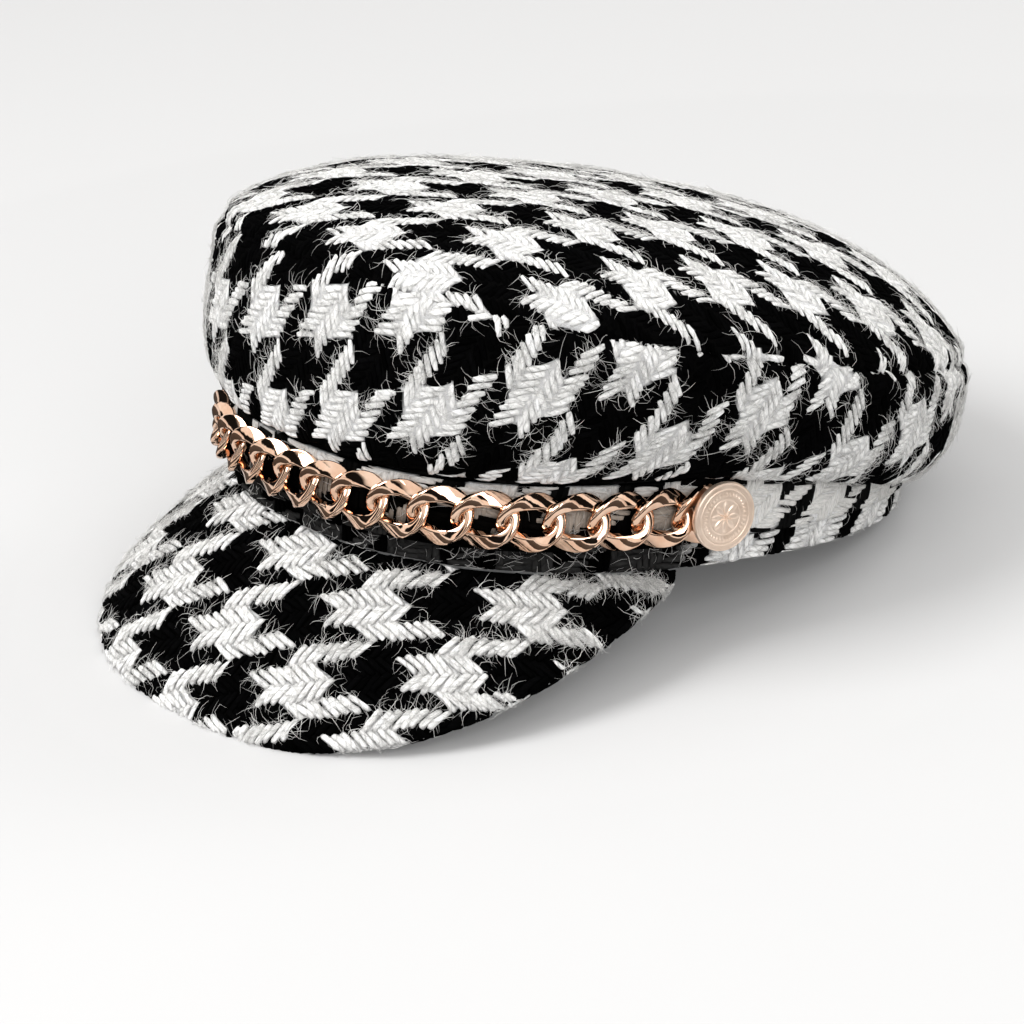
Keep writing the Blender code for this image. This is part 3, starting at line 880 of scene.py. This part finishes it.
def make_wall(cloth, outer=0.0, inner=0.0, finish=backing_wool, looped=False, tint=None):
    """A closed wall round a panel. A looped table already holds both faces."""
    panel = cloth.panel
    columns, length = panel.places()
    i, j = cloth.weave.count(*cloth.spread(columns, length))
    dye = GAP_DYE + WHITE_CROSSING_DYE * (is_white(i) & is_white(j))
    if looped:
        loops, shade = panel.points, dye
    else:
        faces = [panel.points + panel.normals * outer, (panel.points - panel.normals * inner)[:, ::-1]]
        loops, shade = np.concatenate(faces, 1), np.concatenate([dye, INSIDE_DYE + 0 * dye], 1)
    dyes = np.repeat(shade.reshape(-1, 1), 3, 1)
    if tint:
        share = length / panel.length[:, None]
        share = np.concatenate([share, share[:, ::-1]], 1).ravel()
        dyes = dyes * tint(np.repeat(np.arange(len(panel.length)), shade.shape[1]), share)
    count, size = loops.shape[:2]
    first = np.arange(count - 1)[:, None] * size
    base, after = ((first + row).ravel() for row in (np.arange(size), np.roll(np.arange(size), -1)))
    quads = np.stack([base, base + size, after + size, after], 1)
    quads = (quads if panel.facing > 0 else quads[:, ::-1]).tolist()
    if not panel.closed:
        for end, turn in ((0, 1), ((count - 1) * size, -1)):
            for k in range(size // 2 - 1):
                corners = [end + v for v in (k, k + 1, size - 2 - k, size - 1 - k)]
                quads.append(corners[:: turn * panel.facing])
    obj = new_mesh(f"{cloth.name}_cloth", loops.reshape(-1, 3), quads, finish)
    paint(obj, dyes)
    along, around = (np.arange(n) * WALL_UV_STEP for n in (count, size))
    map_yarns(obj, np.repeat(along, size), np.tile(around, count))
    face_outwards(obj, WELD)
    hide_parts(cloth.name)
    cloth.wall = obj
    print(obj.name, "has", len(obj.data.polygons), "faces")


# %% [markdown]
# Set the weave on each panel
#
# The corner of a white check, the slant of the yarns and their spacing were read from the photo for each
# panel. On the peak the yarns stand a little further apart towards the wearer's right, where the cloth is
# stretched most. Under the chain the band is painted nearly black, and the strap a warm grey that is nearly
# black at its foot, as painted shadow of the chain.

# %% The five cloths
crown_side = Cloth("crown_side", side_panel, side_spread, side_find,
                   Weave((0.0340, 0.0205), 10.5, 0.00194, 0.00181))
crown_top = Cloth("crown_top", top_panel, top_spread, top_find,
                  Weave((0.05875, -0.04375), -2.0, 0.00194, 0.00172))
peak = Cloth("peak", peak_panel, peak_spread, peak_find,
             Weave((0.0524, -0.0056), -9.0, 0.00202, 0.00181, drift=0.004))
band = Cloth("head_band", band_panel, *strip_pattern(band_panel),
             Weave((0.020, 0.004), 3.0, 0.00194, 0.00181))
strap = Cloth("hat_strap", strap_panel, *strip_pattern(strap_panel),
              Weave((0.128, 0.016), -6.0, 0.0017, 0.0016))
print("cloths:", [cloth.name for cloth in (crown_side, crown_top, peak, band, strap)])

# %% Make the cloth walls and the yarns
BUTTON_ANGLE, BUTTON_FADE = math.radians(81), 0.08
# Painted shadow under the chain: how much the band is darkened there.
BAND_PAINTED_SHADOW_DEPTH = 0.97
# Painted shadow of the chain on the strap: a warm grey, nearly black at the foot and lighter at the top edge.
CHAIN_SHADOW_GREY, FOOT_PAINTED_SHADOW, TOP_EDGE_TONE = (0.58, 0.51, 0.45), 0.04, 0.92
FOOT_TO, FOOT_FADE, HEAD_FROM, HEAD_FADE = 0.36, 0.12, 0.78, 0.10
CROWN_OUT, EDGE_WRAP, BAND_SHOWS = 0.0004, 0.0012, 0.34
STRAP_DYES = ((0.66, 0.65, 0.63), (0.004, 0.004, 0.004))


def under_chain(column):
    """One where the chain runs, from button to button, and nought behind them."""
    turn = np.abs(at(column, ROUND))
    return smooth_step((BUTTON_ANGLE - turn) / BUTTON_FADE)[:, None]


# Painted shadow: under the chain the band is darkened nearly to black, where the chain and peak shade it.
def band_painted_shadow(column, share):
    return 1 - BAND_PAINTED_SHADOW_DEPTH * under_chain(column)


def strap_painted_shadow(column, share):
    """Painted shadow under the chain: the strap turns a warm grey there, lighter along its top edge and
    nearly black along its foot.
    """
    under = under_chain(column)
    foot = smooth_step((FOOT_TO - share) / FOOT_FADE)[:, None]
    head = smooth_step((share - HEAD_FROM) / HEAD_FADE)[:, None]
    shadow_tone = np.array(CHAIN_SHADOW_GREY) * (1 - foot) * (1 - head) + FOOT_PAINTED_SHADOW * foot + TOP_EDGE_TONE * head
    return under * shadow_tone + (1 - under)


make_wall(crown_side, CROWN_OUT, CLOTH / 2)
lay_floats(crown_side, 3)
make_wall(crown_top, CROWN_OUT, CLOTH / 2)
lay_floats(crown_top, 5)
make_wall(peak, looped=True)
edge = 0.5 + EDGE_WRAP / peak_panel.length.max()
lay_floats(peak, 7, limits=(0, edge), name="peak_upper")
lay_floats(peak, 9, limits=(edge, 1), name="peak_lower", find=peak_find_below, side=-1)
# The band and the strap carry painted shadow under the chain, in their walls and in their yarns.
make_wall(band, BAND_WALL / 2, BAND_WALL / 2, tint=band_painted_shadow)
lay_floats(band, 13, limits=(0, BAND_SHOWS), height=0.0006, base=BAND_WALL / 2, tint=band_painted_shadow)
make_wall(strap, STRAP_WALL / 2, STRAP_WALL / 2, pressed_wool, tint=strap_painted_shadow)
lay_floats(strap, 17, pressed_wool, height=0.00012, base=STRAP_WALL / 2 + 0.0001, dyes=STRAP_DYES,
           wider=1.3, ends=0.25, tint=strap_painted_shadow)

# %% [markdown]
# The chain
#
# A curb chain's links are rings, twisted so that each lies flat through the next, then ground flat and
# polished. A torus is a ring already. Its points are moved so that the ring becomes an oval, its wire wide on
# the long arms and narrow at the ends, with flat faces and a slight twist. One link is shaped, then copied.

# %% Rose gold
WEAR_SCALE, GRAIN_SCALE, DENT_SCALE, METAL_DEPTH = 220.0, 1600.0, 330.0, 0.0010


def rose_gold(name, colours, roughness, grain, dents, metal):
    finish = Finish(bpy.data.materials.new(name))
    place = finish.node("TexCoord", output=3)
    wear = finish.noise(place, WEAR_SCALE, 4.0)
    tint = finish.blend(wear, zip((0.3, 0.7), colours))
    height = finish.noise(place, GRAIN_SCALE, 2.0) * grain + finish.noise(place, DENT_SCALE, 1.0) * dents
    polish = wear * roughness + roughness * 0.5
    bump = finish.bump(height, METAL_DEPTH)
    return finish.surface(Base_Color=tint, Metallic=metal, Roughness=polish, Normal=bump)


LINK_COLOURS = ((0.80, 0.50, 0.34), (0.92, 0.66, 0.50))
BUTTON_COLOURS = ((0.98, 0.76, 0.60), (1.0, 0.82, 0.68))
chain_gold = rose_gold("polished_rose_gold", LINK_COLOURS, 0.035, 0.004, 0.05, 1.0)
button_gold = rose_gold("button_rose_gold", BUTTON_COLOURS, 0.40, 0.012, 0.03, 0.75)
print("metals:", chain_gold.name, button_gold.name)

# %% Model one link and copy it along the band
LINK_LENGTH, LINK_HEIGHT, LINK_PITCH = 0.0186, 0.0162, 0.0126
LINK_THICKNESS, LINK_TWIST = 0.0021, 0.00135
ARM_WIDTH, END_WIDTH, LINK_OVER = 0.0049, 0.0033, 0.0006
ARM_LENGTH_HALF = (LINK_LENGTH + LINK_OVER - END_WIDTH) / 2
ARM_HEIGHT_HALF = (LINK_HEIGHT + LINK_OVER - ARM_WIDTH) / 2
END_SQUARE, ARM_SQUARE, SHOULDER_SWELL = 2.3, 3.0, 0.20
FACE_CROWN, FACE_SINK, ARM_ROLL, SHOULDER_ROLL = 1.08, 0.8, 20, 34
BUTTON_PAST_LINK = 0.0040
STRAP_REACH = GAP + STRAP_WALL
CHAIN_REACH = STRAP_REACH + GAP + LINK_TWIST + LINK_THICKNESS / 2


def strap_middle(angle):
    return float(band_top(np.array(angle))) - STRAP_BELOW_TOP - STRAP_HEIGHT / 2


def along_band(angle, reach):
    """A frame on the strap's middle: X along it to the wearer's left, Y up, Z straight out."""
    ends = band_point(np.array([angle - 1e-4, angle + 1e-4, angle]), reach)
    run = Vector(ends[1] - ends[0]).normalized()
    up = Vector((0, 0, 1))
    turn = Matrix((run, up, run.cross(up))).transposed().to_4x4()
    return CAP @ Matrix.Translation(Vector(ends[2]) + up * strap_middle(angle)) @ turn


def shape_link(co):
    """Moves a torus's points on to the wire of the link."""
    t = np.arctan2(co[:, 1], co[:, 0])
    s = np.arctan2(co[:, 2], np.hypot(co[:, 0], co[:, 1]) - 1.0)
    sin, cos, double = np.sin(t), np.cos(t), np.sin(2 * t)
    arm = sin**2
    centre = np.stack([ARM_LENGTH_HALF * cos, ARM_HEIGHT_HALF * sin, -LINK_TWIST * double], 1)
    along = np.stack([-ARM_LENGTH_HALF * sin, ARM_HEIGHT_HALF * cos, -2 * LINK_TWIST * np.cos(2 * t)], 1)
    out = unit(np.cross(along, [0, 0, 1.0]))
    face = unit(np.cross(out, along))
    power = 2 / (END_SQUARE + ARM_SQUARE * arm)
    half_width = (END_WIDTH + (ARM_WIDTH - END_WIDTH) * arm) / 2 * (1 + SHOULDER_SWELL * double)
    wide = half_width * signed_power(np.cos(s), power)
    high = LINK_THICKNESS / 2 * FACE_CROWN * signed_power(np.sin(s), power)
    roll = np.radians(ARM_ROLL * arm + SHOULDER_ROLL * double)
    across = wide * np.cos(roll) + high * np.sin(roll)
    lift = high * np.cos(roll) - wide * np.sin(roll) * FACE_SINK
    return centre + out * across[:, None] + face * lift[:, None]


def move_points(obj, co):
    obj.data.vertices.foreach_set("co", co.ravel())
    obj.data.update()


def polish(obj, finish, angle):
    bpy.ops.object.shade_smooth_by_angle(angle=math.radians(angle))
    obj.data.materials.clear()
    obj.data.materials.append(finish)
    return obj


def model_link():
    deselect()
    bpy.ops.mesh.primitive_torus_add(major_segments=56, minor_segments=16, major_radius=1.0, minor_radius=0.3)
    link = bpy.context.object
    move_points(link, shape_link(np.array([v.co for v in link.data.vertices])))
    face_outwards(link)
    return polish(link, chain_gold, 30)


def chain_places():
    """The angle round the band of every link, evenly spaced along the chain."""
    turns = np.linspace(-BUTTON_ANGLE, BUTTON_ANGLE, 2001)
    run = run_along(band_point(turns, CHAIN_REACH))
    half_run = run[-1] - BUTTON_PAST_LINK
    count = round(2 * half_run / LINK_PITCH) + 1
    return np.interp(np.linspace(-half_run, half_run, count), run, turns)


def put(obj, name, matrix, node):
    """A copy with its own mesh and its place in that mesh, in the place of a CAD node."""
    mesh = obj.data.copy()
    mesh.transform(matrix)
    copy = bpy.data.objects.new(name, mesh)
    bpy.context.collection.objects.link(copy)
    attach(copy, "root")
    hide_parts(node)


link = model_link()
for number, angle in enumerate(chain_places(), 1):
    put(link, f"chain_curb_{number:02d}", along_band(angle, CHAIN_REACH), f"chain_link_{number:02d}")
print(number, "links of", len(link.data.polygons), "faces")
bpy.data.objects.remove(link)

# %% [markdown]
# The buttons
#
# Each button is a thin struck disc with a rolled rim. It is turned from a circle by extruding and scaling it,
# ring after ring, as on a lathe. The design is a plain one: rings, a row of small pips and a rosette.

# %% Turn the buttons
BUTTON_RADIUS, BUTTON_THICK, POST_RADIUS = 0.0099, 0.0022, 0.002
BUTTON_BACK = 2 * LINK_TWIST + LINK_THICKNESS + GAP
# radius and height above the back of each ring, from the post round the rim to the face
BUTTON_SECTION = ((POST_RADIUS, 0), (0.0090, 0), (0.0097, 0.0003), (BUTTON_RADIUS, 0.0009),
                  (BUTTON_RADIUS, 0.0015), (0.0098, 0.00195), (0.0096, BUTTON_THICK))
FACE_RADII = np.linspace(0.0095, 0.0002, 48)
FACE_SUNK = 0.0002
STRUCK_RINGS = ((0.00018, 0.965, 0.022), (0.00014, 0.80, 0.014), (0.00012, 0.50, 0.014))
PIP_COUNT, PIP_HEIGHT, PIP_PLACE, PIP_WIDTH = 36, 0.00026, 0.655, 0.055
PETAL_HEIGHT, PETAL_LENGTH, PETAL_PLACE, PETAL_TAPER, PETAL_EDGE = 0.00030, 0.40, 0.20, 1.3, 0.22
HUB_HEIGHT, HUB_WIDTH = 0.00025, 0.07


def button_relief(radius, turn):
    """The height of the struck design at a place on the face."""
    share = radius / BUTTON_RADIUS

    def ring(middle, wide):
        return np.exp(-(((share - middle) / wide) ** 2))

    height = sum(tall * ring(middle, wide) for tall, middle, wide in STRUCK_RINGS)
    pips = 0.5 + 0.5 * np.cos(PIP_COUNT * turn)
    height = height + PIP_HEIGHT * pips**2 * ring(PIP_PLACE, PIP_WIDTH)
    petals = np.abs(np.cos(4 * turn)) * PETAL_LENGTH - np.abs(share - PETAL_PLACE) * PETAL_TAPER
    height = height + PETAL_HEIGHT * smooth_step(petals / PETAL_EDGE)
    return height + HUB_HEIGHT * ring(0.0, HUB_WIDTH)


def model_button():
    deselect()
    bpy.ops.mesh.primitive_circle_add(vertices=144, radius=POST_RADIUS, fill_type="NGON")
    disc = bpy.context.object
    mode("EDIT")
    bpy.ops.mesh.select_mode(type="FACE")
    bpy.ops.mesh.select_all(action="SELECT")
    profile = [(radius, BUTTON_BACK + height) for radius, height in BUTTON_SECTION]
    profile += [(radius, BUTTON_BACK + BUTTON_THICK) for radius in FACE_RADII]
    radius, height = POST_RADIUS, 0.0
    for next_radius, next_height in profile:
        rise = (0, 0, next_height - height)
        bpy.ops.mesh.extrude_region_move(TRANSFORM_OT_translate={"value": rise})
        grow = next_radius / radius
        bpy.ops.transform.resize(value=(grow, grow, 1), center_override=(0, 0, next_height))
        radius, height = next_radius, next_height
    face_outwards(disc)
    co = np.array([v.co for v in disc.data.vertices])
    face = co[:, 2] > BUTTON_BACK + BUTTON_THICK - 1e-5
    relief = button_relief(np.hypot(co[:, 0], co[:, 1]), np.arctan2(co[:, 1], co[:, 0]))
    co[face, 2] += relief[face] - FACE_SUNK
    move_points(disc, co)
    return polish(disc, button_gold, 50)


disc = model_button()
for side, name in ((1, "button_left"), (-1, "button_right")):
    put(disc, name + "_struck", along_band(side * BUTTON_ANGLE, STRAP_REACH + GAP), name)
print("button faces:", len(disc.data.polygons))
bpy.data.objects.remove(disc)

# %% [markdown]
# Loose wool
#
# Brushed tweed sheds fine curly fibres, which show most where white wool lies over black. Each fibre is a
# thin closed three-sided tube along a curling path. It starts on a white yarn and wanders off, and a few
# stand up from the cloth, so that the outline is fuzzy too.

# %% Grow the fibres
FIBRE_SIDES, FIBRE_POINTS = 3, 4
FIBRE_STATION, FIBRE_TURN, FIBRE_FACES = tube_pattern(FIBRE_SIDES, FIBRE_POINTS - 2)
FIBRE_REACH, FIBRE_CURL, FIBRE_CURL_STEP, FIBRE_WAVER = (0.0022, 0.0072), 0.55, 0.8, 0.25
STANDING_HEIGHT, LYING_HEIGHT, TIP_DOWN = (0.0008, 0.0020), (0.0002, 0.0010), 0.0003
FIBRE_RADIUS, FIBRE_TAPER = (0.000035, 0.000075), np.array([1, 1, 0.8, 0.4])
FIBRE_TONE, FIBRE_DYE = (0.40, 0.92), (1.0, 0.99, 0.965)
OFF_AXIS = (0.31, 0.22, 0.92)


def grow_fibres(cloth, count, seed, limits=(0, 1), base=0.0011, stand=0.07):
    """Fibres that start on white yarns, most of them in tufts beside a black check."""
    rng = np.random.default_rng(seed)
    tries = count * 18
    column = rng.uniform(0, len(cloth.panel.length) - 1, tries)
    share = rng.uniform(*limits, tries)
    if cloth is crown_top:
        share = np.sqrt(share)
    x, y = cloth.spread(column, share * at(column, cloth.panel.length))
    i, j = cloth.weave.count(x, y)
    mixed = is_white(i) != is_white(j)
    tuft = np.sin(i * 0.9 + 1.3 * seed) * np.sin(j * 0.8 + seed) > 0.0
    stray = rng.uniform(size=tries) < 0.26
    wanted = top_is_white(i, j) & (mixed & tuft | stray)
    x, y = x[wanted][:count], y[wanted][:count]
    count = len(x)
    heading = rng.uniform(0, math.tau, count)
    curl = rng.normal(0, FIBRE_CURL, count)
    step = rng.uniform(*FIBRE_REACH, count) / (FIBRE_POINTS - 1)
    upright = rng.uniform(size=count) < stand
    standing, lying = (rng.uniform(*heights, count) for heights in (STANDING_HEIGHT, LYING_HEIGHT))
    height = np.where(upright, standing, lying)
    path = []
    for k in range(FIBRE_POINTS):
        part = k / (FIBRE_POINTS - 1)
        arch = height * math.sin(math.pi * part) - TIP_DOWN * part
        column, gone, _ = cloth.find(x, y)
        path.append(cloth.panel.place(column, gone, base + np.where(upright, height * part, arch)))
        x, y = x + step * np.cos(heading), y + step * np.sin(heading)
        heading = heading + curl * FIBRE_CURL_STEP + rng.normal(0, FIBRE_WAVER, count)
    path = np.stack(path, 1)
    way = unit(np.gradient(path, axis=1))
    across = unit(np.cross(way, OFF_AXIS))
    other = np.cross(way, across)
    thick = rng.uniform(*FIBRE_RADIUS, (count, 1, 1)) * FIBRE_TAPER[None, :, None]
    turn = (FIBRE_TURN * math.tau / FIBRE_SIDES)[None, :, None]
    ring = across[:, FIBRE_STATION] * np.cos(turn) + other[:, FIBRE_STATION] * np.sin(turn)
    points = path[:, FIBRE_STATION] + ring * thick[:, FIBRE_STATION]
    faces = many(FIBRE_FACES, len(FIBRE_STATION), count)
    obj = new_mesh(f"{cloth.name}_fibres", points.reshape(-1, 3), faces, fuzz_wool)
    tone = rng.uniform(*FIBRE_TONE, (count, 1)) + 0 * FIBRE_STATION
    paint(obj, tone.ravel()[:, None] * np.array(FIBRE_DYE))
    cloth.pile.append(obj)
    print(f"{obj.name}: {count} fibres")


grow_fibres(crown_side, 9600, 31, (0.15, 0.97))
grow_fibres(crown_top, 9400, 33, (0, 0.98))
grow_fibres(peak, 5600, 35, (0.02, 0.5), stand=0.1)
grow_fibres(band, 500, 37, (0, 0.3), base=0.0020)
grow_fibres(strap, 700, 39, base=0.0013, stand=0.05)

# %% [markdown]
# How much cloth each piece is cut from
#
# For the four cloth panels and the covered peak, the size that each was cut to and the area of its cloth are
# worked out and printed. The peak's table holds two covers, of which one is counted.

LEAST_OF_CUT = 0.31


def cut_area(panel):
    p = panel.points
    a, b, c, d = p[:-1, :-1], p[1:, :-1], p[1:, 1:], p[:-1, 1:]
    halves = (np.cross(b - a, c - a), np.cross(c - a, d - a))
    return float(sum(np.linalg.norm(h, axis=2).sum() for h in halves) / 2)


def declare(cloth, flat, share=1.0):
    whole = flat[0] * flat[1]
    area = min(max(cut_area(cloth.panel) * share, LEAST_OF_CUT * whole), whole)
    print(f"{cloth.name}: cut from {flat[0] * 1000:.0f} x {flat[1] * 1000:.0f} mm, {area * 1e4:.0f} cm2")


declare(crown_top, (0.215, 0.245))
declare(crown_side, (2 * float(belly[-1]), 0.085))
declare(band, (0.575, 0.030))
declare(strap, (0.60, 0.020))
declare(peak, (0.205, 0.075), share=0.5)

# %% [markdown]
# The studio
#
# The photo is lit softly and evenly from above, on a pale floor. The metal needs something to mirror, so the
# sky is bright overhead with a darker band low down, broken by bright upright panels as in a photographer's
# studio. A dark ring just over the floor, which only reflections see, gives the metal its dark streaks.

# %% Floor, lights and sky
SKY_PANELS, SKY_TURN, SKY_DARK, PANEL_EDGE = 11, 5.9, (0.50, 0.72), (0.35, 0.6)
SKY_OVERHEAD, SKY_PANEL, SKY_LOW, SKY_STRENGTH = 0.95, 0.99, 0.01, 1.10
LIGHT_AIM = Vector((0, 0, 0.06))
LIGHTS = (
    # name, place, size in metres and power in watts
    ("key", (-0.5, -1.1, 1.5), 1.0, 30),
    ("fill", (1.3, -0.4, 0.8), 0.8, 10),
    ("rim", (0.3, 1.2, 1.0), 0.8, 6),
)


def add_disc(name, radius, height):
    deselect()
    bpy.ops.mesh.primitive_circle_add(vertices=64, radius=radius, fill_type="NGON", location=(0, 0, height))
    disc = bpy.context.object
    disc.name = name
    bpy.ops.object.transform_apply(location=True, rotation=True, scale=True)
    return disc


def add_floor():
    floor = add_disc("studio_floor", radius=6, height=-0.0002)
    finish = Finish(bpy.data.materials.new(floor.name))
    grain = finish.noise(finish.node("TexCoord", output=3), 60.0, 4.0)
    finish.surface(Base_Color=(0.512, 0.512, 0.512, 1), Roughness=grain * 0.1 + 0.7, Specular_IOR_Level=0.1,
                   Emission_Color=(1, 1, 1, 1), Emission_Strength=0.08)
    floor.data.materials.append(finish.owner)


def add_flag():
    flag = add_disc("studio_flag", radius=0.42, height=0.001)
    mode("EDIT")
    bpy.ops.mesh.select_all(action="SELECT")
    bpy.ops.mesh.inset(thickness=0.26)
    bpy.ops.mesh.delete(type="FACE")
    mode("OBJECT")
    finish = Finish(bpy.data.materials.new(flag.name))
    flag.data.materials.append(finish.surface(Base_Color=(0.02, 0.014, 0.010, 1), Roughness=0.9))
    for ray in ("camera", "diffuse", "shadow", "transmission", "volume_scatter"):
        setattr(flag, "visible_" + ray, False)


def add_light(name, place, size, power):
    lamp = bpy.data.objects.new(name, bpy.data.lights.new(name, "AREA"))
    lamp.data.shape = "SQUARE"
    lamp.data.size = size
    lamp.data.energy = power
    lamp.location = place
    lamp.rotation_euler = (LIGHT_AIM - Vector(place)).to_track_quat("-Z", "Y").to_euler()
    bpy.context.collection.objects.link(lamp)


def add_sky():
    world = bpy.data.worlds.new("studio_sky")
    bpy.context.scene.world = world
    sky = Finish(world)
    x, y, z = sky.split(sky.node("TexCoord"))
    panels = sky.maths("SINE", sky.maths("ARCTAN2", y, x) * SKY_PANELS + SKY_TURN)
    low = sky.step(z, *SKY_DARK)
    bright = sky.step(panels, *PANEL_EDGE)
    level = low * SKY_OVERHEAD + (1 - low) * (bright * SKY_PANEL + SKY_LOW)
    colour = sky.colour(level, level * 0.985, level * 0.97)
    light = sky.node("Background", {}, {"Color": colour, "Strength": SKY_STRENGTH})
    sky.node("OutputWorld", {}, {"Surface": light})


add_floor()
add_flag()
add_sky()
for lamp in LIGHTS:
    add_light(*lamp)
bpy.context.scene.view_settings.view_transform = "Standard"
print("floor, sky and", len(LIGHTS), "lights")
